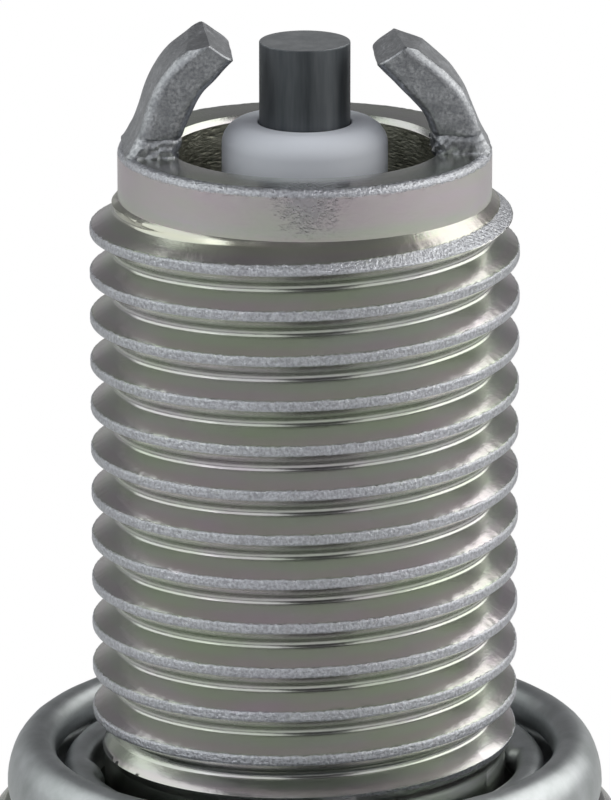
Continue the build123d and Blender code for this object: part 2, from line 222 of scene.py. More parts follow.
# %% A node group with named inputs and outputs
def new_group(name, inputs, outputs):
    tree = bpy.data.node_groups.new(name, "ShaderNodeTree")
    for socket_name, kind, default in inputs:
        socket = tree.interface.new_socket(socket_name, in_out="INPUT", socket_type=kind)
        socket.default_value = default
    for socket_name, kind in outputs:
        tree.interface.new_socket(socket_name, in_out="OUTPUT", socket_type=kind)
    return tree, tree.nodes.new("NodeGroupInput"), tree.nodes.new("NodeGroupOutput")


number, colour, vector = "NodeSocketFloat", "NodeSocketColor", "NodeSocketVector"

# %% The mottle group: two colours in soft patches
mottle, taken, given = new_group(
    "mottle",
    [
        ("Vector", vector, (0, 0, 0)),
        ("Patch", number, 1 * mm),
        ("Contrast", number, 2.0),
        ("First", colour, (0.5, 0.5, 0.5, 1)),
        ("Second", colour, (0.6, 0.6, 0.6, 1)),
    ],
    [("Color", colour), ("Mask", number)],
)
patch_scale = 1 / value_of(mottle, taken, "Patch")
clouds = add_node(
    mottle, "ShaderNodeTexNoise",
    {"Vector": taken.outputs["Vector"], "Scale": patch_scale, "Detail": 4.0, "Roughness": 0.6},
)
mask = ((value_of(mottle, clouds) - 0.5) * value_of(mottle, taken, "Contrast") + 0.5).share()
two_colours = mixed(mottle, mask, taken.outputs["First"], taken.outputs["Second"])
plug_in(mottle, two_colours, given.inputs["Color"])
plug_in(mottle, mask, given.inputs["Mask"])
print("group:", mottle.name)

# %% The grain group: fine pits and scratches as a height
grain, taken, given = new_group(
    "grain",
    [("Vector", vector, (0, 0, 0)), ("Grit", number, 0.1 * mm), ("Pits", number, 0.5)],
    [("Height", number), ("Mask", number)],
)
pit_size, pit_depth = 0.6, 0.35
grit_scale = 1 / value_of(grain, taken, "Grit")
grit = add_node(
    grain, "ShaderNodeTexNoise",
    {"Vector": taken.outputs["Vector"], "Scale": grit_scale, "Detail": 3.0, "Roughness": 0.65},
)
cells = add_node(
    grain, "ShaderNodeTexVoronoi", {"Vector": taken.outputs["Vector"], "Scale": grit_scale * pit_size}
)
pits = value_of(grain, cells).least(pit_depth) * value_of(grain, taken, "Pits")
plug_in(grain, value_of(grain, grit) + pits, given.inputs["Height"])
plug_in(grain, grit.outputs[0], given.inputs["Mask"])
print("group:", grain.name)


# %% A material with its shader, ready for its own effects
def new_material(name, **settings):
    """A Principled material. Constant settings go on the shader's own sockets."""
    material = bpy.data.materials.new(name)
    material.use_nodes = True
    tree = material.node_tree
    shader = tree.nodes["Principled BSDF"]
    for socket, value in settings.items():
        shader.inputs[socket.replace("_", " ")].default_value = value
    place = add_node(tree, "ShaderNodeTexCoord").outputs["Object"]
    return material, tree, shader, place


def use_group(tree, group, place, stretch=None, **inputs):
    """Places a group in a material, with its pattern squeezed by so much along each axis."""
    if stretch:
        place = add_node(tree, "ShaderNodeMapping", {"Vector": place, "Scale": stretch}).outputs[0]
    node = tree.nodes.new("ShaderNodeGroup")
    node.node_tree = group
    for name, value in {"Vector": place, **inputs}.items():
        plug_in(tree, value, node.inputs[name])
    return node


def painted(tree, shader, colour, roughness):
    """Feeds the shader its colour and its roughness."""
    plug_in(tree, colour, shader.inputs["Base Color"])
    plug_in(tree, roughness, shader.inputs["Roughness"])


def bumped(tree, shader, height, depth, strength=1.0, under=None):
    """Turns a height into a bump that the shader's reflections follow."""
    node = add_node(tree, "ShaderNodeBump", {"Height": height, "Distance": depth, "Strength": strength})
    if under is not None:
        tree.links.new(under.outputs[0], node.inputs["Normal"])
    tree.links.new(node.outputs[0], shader.inputs["Normal"])
    return node


# %% [markdown]
# ### Plated steel
# The shell is cold-formed steel with a bright plating and a thin clear passivation. The passivation is a
# film thinner than a wave of light, so it tints the silver with faint lilac and green, which change with
# the film's thickness: it is thicker at a crest than down in a groove. The thread's mesh carries its own
# height as an attribute, so the tint can follow it. Fine rings left by the rolling dies run round it. A
# second attribute says where rolling and pressing left the metal frosted: on the crests and on the rim.
# There the frost really roughens and bumps the metal, and its speckled colour is painted light: bright
# painted glints, and painted shade in its pits.

# %% The tones of the plating
silver = (0.54, 0.545, 0.545, 1)
lilac = (0.55, 0.50, 0.545, 1)
green = (0.50, 0.54, 0.46, 1)
film_tone = (0.55, 0.48, 0.51, 1)
# The lilac is the film's own tint. The cream is a painted highlight for the lead-in cone.
pilot_lilac, cone_highlight_cream = (0.57, 0.48, 0.54, 1), (0.58, 0.575, 0.47, 1)
# The bright silver and the dark tone here paint the frost's light: painted glints, and painted shade in its
# pits. The dark tone also colours the scuff.
frost_glint_silver, scuff_tone_and_pit_shade = (0.66, 0.675, 0.73, 1), (0.38, 0.385, 0.43, 1)
groove_film = [(0.0, 0.1), (0.12, 0.9), (0.35, 0.5), (0.5, 0.0), (1.0, 0.0)]
flank_film = [(0.0, 0.0), (0.4, 0.0), (0.62, 0.8), (0.84, 0.6), (0.9, 0.0)]
scuff_place, scuff_reach = (0.1 * mm, -pilot_r, rim_z - 0.35 * mm), 1.1 * mm


# %% The plating for turned surfaces, and what the firing end adds to it
def attribute(tree, name):
    """A number that the mesh carries at each of its points."""
    return value_of(tree, add_node(tree, "ShaderNodeAttribute", attribute_name=name), "Fac")


def above_thread(tree, place, base, tint):
    """Lilac on the pilot under its rim, and a painted cream highlight on the cone where the thread begins."""
    level = add_node(tree, "ShaderNodeSeparateXYZ", {"Vector": place}).outputs["Z"]
    over_cone = Value(tree, level) - pilot_z
    under_rim = ((rim_z - 0.1 * mm - pilot_z - over_cone) / (0.15 * mm)).share()
    on_pilot = ((over_cone - 0.15 * mm) / (0.3 * mm)).share() * under_rim
    # A painted highlight: a band of cream on the lead-in cone, just under the pilot.
    cone_highlight = (1 - (over_cone + 0.15 * mm).calculated("ABSOLUTE") / (0.35 * mm)).most(0)
    base = mixed(tree, on_pilot * (tint * 0.7 + 0.25), base, pilot_lilac)
    return mixed(tree, cone_highlight * 0.8, base, cone_highlight_cream)


def plated(name, with_thread):
    material, tree, shader, place = new_material(name, Metallic=1.0)
    wide = use_group(
        tree, mottle, place, (1, 1, 1.4), Patch=3.0 * mm, Contrast=3.6, First=lilac, Second=silver
    )
    tint = use_group(
        tree, mottle, place, (0.6, 0.6, 3.0), Patch=2.0 * mm, Contrast=3.6,
        First=wide.outputs["Color"], Second=green,
    )
    rings = use_group(tree, grain, place, (0.12, 0.12, 1.0), Grit=0.045 * mm, Pits=0.1)
    specks = use_group(tree, grain, place, Grit=0.11 * mm, Pits=0.5)
    base = tint.outputs["Color"]
    rough = value_of(tree, wide, "Mask") * 0.05 + value_of(tree, specks, "Mask") * 0.10 + 0.14
    low = bumped(tree, shader, rings.outputs["Height"], 0.004 * mm, 0.5)
    fine = bumped(tree, shader, value_of(tree, specks) * 0.3, 0.012 * mm, 0.8, under=low)
    if with_thread:
        base = above_thread(tree, place, base, value_of(tree, wide, "Mask"))
        rise = attribute(tree, "thread_height")
        base = mixed(tree, curve_through(tree, rise, groove_film) * 0.5, base, green)
        base = mixed(tree, curve_through(tree, rise, flank_film) * 0.6, base, film_tone)
        frost = use_group(tree, grain, place, Grit=0.085 * mm, Pits=0.9)
        ragged = use_group(tree, mottle, place, Patch=0.22 * mm, Contrast=1.0)
        ragged = value_of(tree, ragged, "Mask") - 0.5
        worn = ((attribute(tree, "frosting") - 0.74) * 5 + ragged * 3).share()
        # The frost's colour is painted light: painted glints on the grain's high spots and painted shade in
        # its pits.
        glint_share = ((value_of(tree, frost, "Mask") - 0.5) * 4 + 0.5).share()
        base = mixed(tree, worn * 0.9, base, mixed(tree, glint_share, scuff_tone_and_pit_shade, frost_glint_silver))
        from_scuff = add_node(
            tree, "ShaderNodeVectorMath", {0: place, 1: scuff_place}, operation="DISTANCE"
        )
        scuff = 0.9 - value_of(tree, from_scuff, "Value") / scuff_reach + ragged * 1.2
        scuff = scuff.most(0).least(0.8)
        base = mixed(tree, scuff * 0.6, base, scuff_tone_and_pit_shade)
        worn = worn.most(scuff)
        rough = rough + worn * 0.12
        bumped(tree, shader, (value_of(tree, frost) - 0.7) * worn, 0.045 * mm, 1.0, under=fine)
    painted(tree, shader, base, rough)
    return material


thread_plating = plated("thread_plating", True)
turned_plating = plated("turned_plating", False)
print("materials:", thread_plating.name, turned_plating.name)

# %% [markdown]
# ### The other finishes
# The side electrodes are nickel alloy, grey and mottled from the welding heat. The centre electrode is
# darker, drawn wire with fine streaks along it, and its end is ground. The insulator is white alumina: bare
# and matt at the nose, glazed and shiny behind the shell. The gasket is plated like the shell, but its
# sheet is softer. The plating is thin down in the bore, where the drill's marks stay. The bore's dark olive
# colour is painted shade of that deep, narrow recess.
# All of them are soft patches of two colours and a fine relief, so one helper makes them.


# %% A finish of soft patches and fine relief
def finish(name, patches, relief, rough, bump, flecks=None, **settings):
    """A finish. rough says how much the relief and the patches roughen it, and how rough it is anyway."""
    material, tree, shader, place = new_material(name, **settings)
    patches = use_group(tree, mottle, place, **patches)
    relief = use_group(tree, grain, place, **relief)
    by_relief, by_patches, roughness = rough
    for node, share in ((relief, by_relief), (patches, by_patches)):
        if share:
            roughness = value_of(tree, node, "Mask") * share + roughness
    tone = patches.outputs["Color"]
    if flecks:
        tone = use_group(tree, mottle, place, First=tone, **flecks).outputs["Color"]
    painted(tree, shader, tone, roughness)
    bumped(tree, shader, relief.outputs["Height"], *bump)
    return material


def two_tones(patch, contrast, first, second, **more):
    """What the mottle group takes: a patch's size in millimetres, its contrast and its two colours."""
    return {"Patch": patch * mm, "Contrast": contrast, "First": (*first, 1), "Second": (*second, 1), **more}


def pitted(grit, pits, **more):
    """What the grain group takes: the grit's size in millimetres and how deep its pits are."""
    return {"Grit": grit * mm, "Pits": pits, **more}


# %% The bore, the electrodes and the ceramic
# The bore's steel is painted dark: painted shade of the deep recess between shell and insulator.
shaded_bore_steel = finish(
    "shaded_bore_steel",
    two_tones(0.6, 3.0, (0.14, 0.14, 0.11), (0.30, 0.30, 0.25)),
    pitted(0.09, 0.9, stretch=(0.35, 0.35, 1)),
    rough=(0.2, 0, 0.3), bump=(0.03 * mm, 0.9), Metallic=1.0,
)
bar_nickel = finish(
    "bar_nickel",
    two_tones(0.42, 2.6, (0.32, 0.33, 0.35), (0.62, 0.63, 0.66)),
    pitted(0.10, 0.9),
    rough=(0.2, 0.10, 0.26), bump=(0.016 * mm, 0.9), Metallic=1.0,
    flecks={"Patch": 0.09 * mm, "Contrast": 3.4, "Second": (0.28, 0.29, 0.31, 1)},
)
dark_nickel = finish(
    "dark_nickel",
    two_tones(0.8, 4.0, (0.095, 0.105, 0.115), (0.20, 0.212, 0.226), stretch=(1, 1, 0.10)),
    pitted(0.06, 0.2, stretch=(1, 1, 0.15)),
    rough=(0, 0.12, 0.50), bump=(0.005 * mm, 0.5), Metallic=1.0,
)
ground_nickel = finish(
    "ground_nickel",
    two_tones(0.5, 2.4, (0.38, 0.40, 0.42), (0.58, 0.60, 0.62)),
    pitted(0.07, 0.5, stretch=(1, 0.3, 1)),
    rough=(0.15, 0, 0.36), bump=(0.012 * mm, 0.7), Metallic=1.0,
)
alumina = two_tones(1.6, 1.5, (0.80, 0.83, 0.91), (0.84, 0.87, 0.95))
fired, fired_bump = pitted(0.16, 0.3), (0.004 * mm, 0.4)
bare_ceramic = finish("bare_ceramic", alumina, fired, (0.12, 0, 0.5), fired_bump)
glazed_ceramic = finish(
    "glazed_ceramic", alumina, fired, (0.12, 0, 0.12), fired_bump, Coat_Weight=0.6, Coat_Roughness=0.06
)


# %% Plain metals and powders
def metal(name, first, second, rough, patch=1.0, pits=0.4):
    return finish(
        name, two_tones(patch, 2.2, first, second), pitted(0.1, pits),
        rough=(0.18, 0.06, rough), bump=(0.008 * mm, 0.5), Metallic=1.0,
    )


def powder(name, first, second, grit):
    return finish(
        name, two_tones(4 * grit, 3.0, first, second), pitted(grit, 0.8),
        rough=(0.2, 0, 0.6), bump=(0.02 * mm, 0.8),
    )


gasket_steel = metal("gasket_steel", (0.38, 0.405, 0.41), (0.56, 0.58, 0.60), 0.30, patch=1.1, pits=0.3)
nut_plating = metal("nut_plating", (0.58, 0.58, 0.57), (0.66, 0.66, 0.65), 0.16, patch=2.0)
stud_steel = metal("stud_steel", (0.46, 0.46, 0.46), (0.56, 0.56, 0.55), 0.22)
packing_steel = metal("packing_steel", (0.38, 0.38, 0.38), (0.48, 0.48, 0.47), 0.3)
copper = metal("copper_core", (0.80, 0.42, 0.28), (0.90, 0.52, 0.38), 0.25)
seal_glass = powder("seal_glass", (0.10, 0.10, 0.11), (0.22, 0.19, 0.17), 0.2)
resistor_mass = powder("resistor_mass", (0.05, 0.05, 0.05), (0.11, 0.11, 0.11), 0.15)
talc = powder("talc", (0.66, 0.66, 0.63), (0.76, 0.76, 0.74), 0.12)
print("materials:", len(bpy.data.materials))

# %% [markdown]
# ## The thread
# A thread is a rule: one groove of a fixed outline that climbs by its pitch in each turn. So Geometry Nodes
# make it. A flat grid is rolled up, and its rows don't lie level: each row follows the helix, at one height
# of the groove's outline all the way. That keeps the crest's edges clean with only sixteen rows to a turn.
# At the top the crests are turned down to a lead-in cone, and at the bottom they fade into the plain neck.
# Rolling squeezes the metal up into the crest, where it ends rough, so the crest alone gets an uneven relief.


# %% A geometry tree with named sizes, and how to run it
def new_geometry(name, inputs):
    tree = bpy.data.node_groups.new(name, "GeometryNodeTree")
    tree.interface.new_socket("Geometry", in_out="OUTPUT", socket_type="NodeSocketGeometry")
    for socket_name, kind in inputs:
        tree.interface.new_socket(socket_name, in_out="INPUT", socket_type=kind)
    return tree, tree.nodes.new("NodeGroupInput"), tree.nodes.new("NodeGroupOutput")


def add_piece(name, data):
    """Puts a mesh, a lamp or a lens into the scene as an object that sits at the origin."""
    piece = bpy.data.objects.new(name, data)
    bpy.context.scene.collection.objects.link(piece)
    return piece


def grown(name, tree, sizes):
    """Runs a geometry tree with the given sizes and returns its result as a plain mesh."""
    holder = add_piece(name + "_holder", bpy.data.meshes.new(name + "_holder"))
    modifier = holder.modifiers.new("tree", "NODES")
    modifier.node_group = tree
    for item in tree.interface.items_tree:
        if item.item_type == "SOCKET" and item.in_out == "INPUT":
            modifier[item.identifier] = sizes[item.name]
    graph = bpy.context.evaluated_depsgraph_get()
    mesh = bpy.data.meshes.new_from_object(
        holder.evaluated_get(graph), preserve_all_data_layers=True, depsgraph=graph
    )
    mesh.name = name
    bpy.data.objects.remove(holder)
    return mesh


# %% The named sizes of the rolled thread, and a flat grid of its rows
whole_number = "NodeSocketInt"
rolled_thread, taken, given = new_geometry(
    "rolled_thread",
    [
        ("Columns", whole_number), ("Laps", whole_number), ("First Lap", whole_number),
        ("Crest Radius", number), ("Root Radius", number), ("Pitch", number), ("Groove Angle", number),
        ("Bottom", number), ("Bottom Radius", number), ("Fade Length", number),
        ("Top", number), ("Top Radius", number), ("Lead-in Length", number),
        ("Unevenness", number), ("Grit", number), ("Material", "NodeSocketMaterial"),
    ],
)
size = {socket.name: Value(rolled_thread, socket) for socket in taken.outputs if socket.name}
# From the crest's middle to the groove's: how far along the pitch each row lies, and how high it stands.
row_places = [0.0, 0.08, 0.15, 0.205, 0.25, 0.50, 0.79, 0.85, 1.0]
row_heights = [0.985, 0.995, 0.99, 0.96, 0.90, 0.52, 0.085, 0.012, 0.0]
half_rows = len(row_places) - 1
lap_rows = 2 * half_rows
flat_sheet = add_node(
    rolled_thread, "GeometryNodeMeshGrid",
    {
        "Size X": 1.0, "Size Y": 1.0,
        "Vertices X": size["Columns"] + 1, "Vertices Y": size["Laps"] * lap_rows + 1,
    },
)
print("rows to a turn:", lap_rows)

# %% Where each point of the grid lies along the helix
flat_place = add_node(rolled_thread, "GeometryNodeInputPosition").outputs[0]
flat_axes = add_node(rolled_thread, "ShaderNodeSeparateXYZ", {"Vector": flat_place})
turn = value_of(rolled_thread, flat_axes, "X") + 0.5
row = ((value_of(rolled_thread, flat_axes, "Y") + 0.5) * size["Laps"] * lap_rows).calculated("ROUND")
# A hair is added, so that a row on the edge of a lap never counts with the lap before it.
lap = ((row + 0.01) / lap_rows).calculated("FLOOR")
within = row / lap_rows - lap
from_crest = (within * 2 - 1).calculated("ABSOLUTE")
steps = [step / half_rows for step in range(half_rows + 1)]
spread = curve_through(rolled_thread, from_crest, list(zip(steps, row_places)))
rise = curve_through(rolled_thread, from_crest, list(zip(steps, row_heights)))
phase = (within - 0.5).calculated("SIGN") * spread * 0.5 + 0.5
level = size["Pitch"] * (size["First Lap"] + lap + phase + turn - size["Groove Angle"] / 360)
level = level.most(size["Bottom"]).least(size["Top"])

# %% How far out it stands: the groove's outline, within the fade at the bottom and the cone at the top
over_bottom = level - size["Bottom"]
under_top = size["Top"] - level
fade_share, lead_share = over_bottom / size["Fade Length"], under_top / size["Lead-in Length"]
crest, root, bottom, top = (size[name + " Radius"] for name in ("Crest", "Root", "Bottom", "Top"))
thread_r = root + (crest - root) * rise
floor_r = bottom - fade_share * (bottom - root)
fade_r = bottom + fade_share * (crest - bottom)
lead_r = top + lead_share * (crest - top)
smooth_r = thread_r.most(floor_r).least(fade_r).least(lead_r)

# %% Rolled up, with rough crests
angle = turn * (2 * math.pi)
around_x, around_y = angle.calculated("COSINE"), angle.calculated("SINE")
smooth_place = joined(rolled_thread, smooth_r * around_x, smooth_r * around_y, level)
lumps = add_node(
    rolled_thread, "ShaderNodeTexNoise",
    {"Vector": smooth_place, "Scale": 1 / size["Grit"], "Detail": 2.0, "Roughness": 0.7},
)
rough_from, frost_from = 0.80, 0.70
calm_end, bare_end = 0.2 * mm, 0.5 * mm
calm_top = (under_top / calm_end).least(1)
on_crest = ((rise - rough_from) * 6).share() * (over_bottom / calm_end).least(1) * calm_top
lift = (value_of(rolled_thread, lumps) - 0.5) * size["Unevenness"] * on_crest
final_r = smooth_r + lift
final_place = joined(rolled_thread, final_r * around_x, final_r * around_y, level + lift * 0.6)
frosting = ((rise - frost_from) * 3.6).share() * (over_bottom / bare_end).least(1) * calm_top

# %% The steps that turn the grid into the thread
# The attributes are stored while the sheet is still flat, since its rows are counted from its places.
thread_steps = [
    ("StoreNamedAttribute", {"Name": "thread_height", "Value": rise}),
    ("StoreNamedAttribute", {"Name": "frosting", "Value": frosting}),
    ("SetPosition", {"Position": final_place}),
    ("MergeByDistance", {"Distance": 0.002 * mm}),
    ("SetShadeSmooth", {}),
    ("RealizeInstances", {}),
    ("SetMaterial", {"Material": size["Material"]}),
]
sheet = flat_sheet.outputs[0]
for step, inputs in thread_steps:
    sheet = add_node(rolled_thread, "GeometryNode" + step, {"Geometry": sheet, **inputs}).outputs[0]
rolled_thread.links.new(sheet, given.inputs[0])

first_lap = math.floor(neck_z / pitch - 1 + groove_angle / 360)
last_lap = math.ceil(pilot_z / pitch + groove_angle / 360)
thread_mesh = grown(
    "shell_thread",
    rolled_thread,
    {
        "Columns": round_columns, "Laps": last_lap - first_lap, "First Lap": first_lap,
        "Crest Radius": crest_r, "Root Radius": root_r, "Pitch": pitch, "Groove Angle": groove_angle,
        "Bottom": neck_z, "Bottom Radius": neck_r, "Fade Length": fade_length,
        "Top": pilot_z, "Top Radius": pilot_r, "Lead-in Length": lead_in_length,
        "Unevenness": 0.045 * mm, "Grit": 0.13 * mm, "Material": thread_plating,
    },
)
print("thread:", len(thread_mesh.vertices), "points,", len(thread_mesh.polygons), "faces")

# %% [markdown]
# ## Turned pieces
# Everything else on the axis was turned or pressed, so one outline spun round the axis makes it. The
# outline runs up the outside, in over the top and down the bore, which points every face outwards. Real
# edges are never sharp, so a corner can carry a radius, and a few short steps round it.


# %% An outline with rounded corners
def rounded(corners, step_angle=15):
    """Points of an outline. A corner is (radius, level) or (radius, level, rounding)."""
    outline = []
    for index, corner in enumerate(corners):
        here = Vector(corner[:2])
        rounding = corner[2] if len(corner) > 2 else 0
        if not rounding or index in (0, len(corners) - 1):
            outline.append(tuple(here))
            continue
        before = (Vector(corners[index - 1][:2]) - here).normalized()
        after = (Vector(corners[index + 1][:2]) - here).normalized()
        half = before.angle(after) / 2
        start = here + before * rounding / math.tan(half)
        end = here + after * rounding / math.tan(half)
        centre = here + (before + after).normalized() * rounding / math.sin(half)
        turn_steps = max(2, math.ceil(math.degrees(math.pi - 2 * half) / step_angle))
        for step in range(turn_steps + 1):
            spoke = (start - centre).lerp(end - centre, step / turn_steps)
            outline.append(tuple(centre + spoke.normalized() * rounding))
    return outline


# %% How an outline is turned, and how a turned piece is finished
def meshed(name, shape, sharp):
    """A mesh of a shape, smooth but for the edges that bend more than so many degrees."""
    mesh = bpy.data.meshes.new(name)
    shape.to_mesh(mesh)
    shape.free()
    mesh.shade_smooth()
    mesh.set_sharp_from_angle(angle=math.radians(sharp))
    return mesh


def open_edges(shape):
    return sum(1 for edge in shape.edges if len(edge.link_faces) != 2)


def spun(name, outline, columns, closed=True, cap=None, sharp=32):
    """Turns an outline round the axis. cap(angle) limits the radius of the outline's points marked for it."""
    on_axis = 1e-9
    shape = bmesh.new()
    angles = [2 * math.pi * column / columns for column in range(columns)]
    rings = []
    for point in outline:
        radius, level, capped = (*point, False)[:3]
        if radius < on_axis:
            rings.append([shape.verts.new((0, 0, level))] * columns)
            continue
        ring = []
        for angle in angles:
            r = min(radius, cap(angle)) if capped else radius
            ring.append(shape.verts.new((r * math.cos(angle), r * math.sin(angle), level)))
        rings.append(ring)
    pairs = list(zip(rings, rings[1:])) + ([(rings[-1], rings[0])] if closed else [])
    for low, high in pairs:
        for column in range(columns):
            after = (column + 1) % columns
            corners = [low[column], low[after], high[after], high[column]]
            face = list(dict.fromkeys(corners))
            if len(face) > 2:
                shape.faces.new(face)
    return meshed(name, shape, sharp)


def unevenly(mesh, grit, amount, where):
    """Moves a mesh's points in and out by noise, as far as where(point) says."""
    for vertex in mesh.vertices:
        share = where(vertex.co)
        if share > 0:
            bump = noise.noise_vector(vertex.co / grit, noise_basis="PERLIN_ORIGINAL")
            vertex.co += Vector(bump) * amount * share


def given_finishes(mesh, finishes, second=None):
    """Gives a mesh its finishes. second(middle) picks the faces that take the second one."""
    mesh.materials.clear()
    for finish_of_part in finishes:
        mesh.materials.append(finish_of_part)
    if second:
        for face in mesh.polygons:
            face.material_index = int(second(face.center))


def finished(mesh, body, slot, *replaced):
    """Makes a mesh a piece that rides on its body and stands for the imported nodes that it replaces."""
    piece = add_piece(mesh.name, mesh)
    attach(piece, body)
    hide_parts(*replaced)
    triangles = sum(len(face.vertices) - 2 for face in mesh.polygons)
    print(piece.name, "rides on", body, "with", triangles, "triangles")


# %% [markdown]
# ### The shell's firing end
# Above the thread stands the pilot, a plain length that carries the rim. Its outer edge was pressed when
# the electrodes were welded on, so it is uneven. The bore narrows lower down to the ledge that carries the
# insulator. The thread, the pilot, the bore and the neck share their rings of points and become one mesh.

# %% Pilot, rim, bore and neck, joined to the thread
ledge_r, long_bore_r = 3.17 * mm, 4.0 * mm
seat_level, ledge_level = rim_z - 11.4 * mm, rim_z - 9.8 * mm
seat_slope = math.tan(math.radians(30))
seat_foot = seat_level - seat_slope * (long_bore_r - ledge_r)
mouth_bevel = 0.15 * mm
# Close rows on both sides of the rim's outer edge, so that there are points enough to press it out of shape.
close_rows = (0.46 * mm, 0.36 * mm, 0.27 * mm)
pilot_outline = rounded([
    (pilot_r, pilot_z),
    (pilot_r, pilot_z + 0.25 * mm),
    (pilot_r, pilot_z + 0.7 * mm),
    *[(pilot_r, rim_z - off) for off in close_rows],
    (pilot_r, rim_z, 0.20 * mm),
    *[(pilot_r - off, rim_z) for off in close_rows[::-1]],
    (pilot_r - 0.7 * mm, rim_z),
    (mouth_r + mouth_bevel, rim_z, 0.04 * mm),
    (mouth_r, rim_z - mouth_bevel, 0.04 * mm),
    (mouth_r, ledge_level + mouth_r - ledge_r),
    (ledge_r, ledge_level),
    (ledge_r, seat_level),
    (long_bore_r, seat_foot),
    (long_bore_r, seat_z),
    (neck_r, seat_z),
    (neck_r, neck_z),
])
pilot_mesh = spun("shell_pilot", pilot_outline, round_columns, closed=False)
pressed_width = 0.40 * mm


def pressed_rim(place):
    """How much of the rim's outer edge was pressed out of shape: all at the edge, nothing further off."""
    from_edge = math.hypot(pilot_r - math.hypot(place.x, place.y), rim_z - place.z)
    return max(0, 1 - from_edge / pressed_width)


unevenly(pilot_mesh, 0.17 * mm, 0.022 * mm, pressed_rim)
both = bmesh.new()
both.from_mesh(thread_mesh)
both.from_mesh(pilot_mesh)
bmesh.ops.remove_doubles(both, verts=both.verts, dist=0.002 * mm)
print("open edges of the shell's firing end:", open_edges(both))
shell_mesh = bpy.data.meshes.new("shell_firing_end")
both.to_mesh(shell_mesh)
both.free()
frosting = shell_mesh.attributes["frosting"].data
for vertex in shell_mesh.vertices:
    if vertex.co.z > pilot_z + 0.3 * mm:
        frosting[vertex.index].value = min(1, 1.7 * pressed_rim(vertex.co))


def in_bore(middle):
    return math.hypot(middle.x, middle.y) < long_bore_r + 0.01 * mm and middle.z < rim_z - 0.2 * mm


# Faces deep in the bore take the steel with the painted shade.
given_finishes(shell_mesh, [thread_plating, shaded_bore_steel], in_bore)
shell_mesh.set_sharp_from_angle(angle=math.radians(50))
finished(shell_mesh, "plug", "plated_steel", "shell")

# %% [markdown]
# ### Flange, hexagon and crimped lip
# Under the gasket seat the same shell widens to the flange and the hexagon for the spanner, with a thin
# groove between them that was heated and squeezed to close the shell on the insulator. Its end is rolled
# in over the packing. A hexagon is a turned outline too, if its flats limit how far each point may reach.

# %% The shell behind the gasket seat
hex_flat_r = 8.0 * mm
hex_corner_r = hex_flat_r / math.cos(math.radians(30))
flange_z, hex_z, hex_end_z = -4.4 * mm, -6.6 * mm, -16.2 * mm
crimp_r, rear_bore_r, lip_bore_r = 6.9 * mm, 5.75 * mm, 5.05 * mm
lip_inner_z = shell_end_z + 0.7 * mm
rear_cone_z = -3.0 * mm
cone_height, cone_rows, corner_flat = 0.6 * mm, 6, 0.09 * mm
turned_edge, flange_bevel = 0.12 * mm, 0.35 * mm


def hexagon_limit(angle):
    """How far the hexagon reaches at an angle. Its corners lie on the X axis."""
    from_flat = math.radians(math.degrees(angle) % 60 - 30)
    return min(hex_flat_r / math.cos(from_flat), hex_corner_r - corner_flat)


def hexagon_end(level, inwards):
    """Rows of one end of the hexagon, whose corners are turned off on a cone."""
    for step in range(cone_rows + 1):
        share = step / cone_rows
        yield hex_flat_r + (hex_corner_r - hex_flat_r) * share, level + inwards * cone_height * share, True


rear_outline = (
    rounded([
        (lip_bore_r, shell_end_z),
        (crimp_r, shell_end_z, 1.0 * mm),
        (crimp_r, hex_end_z, turned_edge),
        (hex_flat_r - 0.05 * mm, hex_end_z),
    ])
    + list(hexagon_end(hex_end_z, 1))
    + list(hexagon_end(hex_z, -1))[::-1]
    + rounded([
        (hex_flat_r - 0.05 * mm, hex_z),
        (crimp_r, hex_z, 0.15 * mm),
        (crimp_r, flange_z, 0.15 * mm),
        (flange_r - flange_bevel, flange_z, turned_edge),
        (flange_r, flange_z + flange_bevel, turned_edge),
        (flange_r, seat_z - flange_bevel, turned_edge),
        (flange_r - flange_bevel, seat_z, turned_edge),
        (neck_r + 0.6 * mm, seat_z),
    ])
    + [
        (long_bore_r, seat_z),
        (long_bore_r, rear_cone_z),
        (rear_bore_r, rear_cone_z - (rear_bore_r - long_bore_r)),
        (rear_bore_r, lip_inner_z),
        (lip_bore_r, lip_inner_z),
    ]
)
rear_mesh = spun("shell_hexagon", rear_outline, 240, cap=hexagon_limit)
given_finishes(rear_mesh, [turned_plating])
finished(rear_mesh, "plug", "plated_steel", "shell")

# %% [markdown]
# ### Insulator and centre electrode
# The insulator's nose stands in the shell's mouth with a soft round shoulder, 0.65 mm over the rim. At the
# other end five ribs lengthen the way that a spark would have to creep along the surface. The centre
# electrode is a plain wire with a crisp end: the spark needs that edge.

# %% The insulator
electrode_bore_r = 1.275 * mm
nose_r, nose_root_r, body_r, column_r = 2.27 * mm, 3.05 * mm, 3.9 * mm, 1.9 * mm
head_r, rib_groove_r, rib_depth = 5.0 * mm, 0.89 * mm, 0.5 * mm
collar_top, collar_end = -5.05 * mm, -11.25 * mm
ceramic_seat, seat_edge = seat_level - 0.35 * mm, 0.12 * mm
rib_count, rib_spacing, first_rib = 5, 2.5 * mm, head_end_z + 2.6 * mm
body_edge = 0.1 * mm
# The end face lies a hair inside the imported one, clear of the stud's collar that touches it there.
bare_end_z = head_end_z + 0.01 * mm
# The bore widens there for the electrode's head, which rests on the step.
electrode_step_z = rim_z - 16.6 * mm


def ribs():
    """The grooves of the ribbed head, from the ceramic's end upwards."""
    groove_half = math.acos((rib_groove_r - rib_depth) / rib_groove_r)
    for rib in range(rib_count):
        middle = first_rib + rib * rib_spacing
        for turn_step in range(-6, 7):
            swing = groove_half * turn_step / 6
            depth = rib_groove_r * math.cos(swing) - (rib_groove_r - rib_depth)
            yield head_r - depth, middle + rib_groove_r * math.sin(swing)


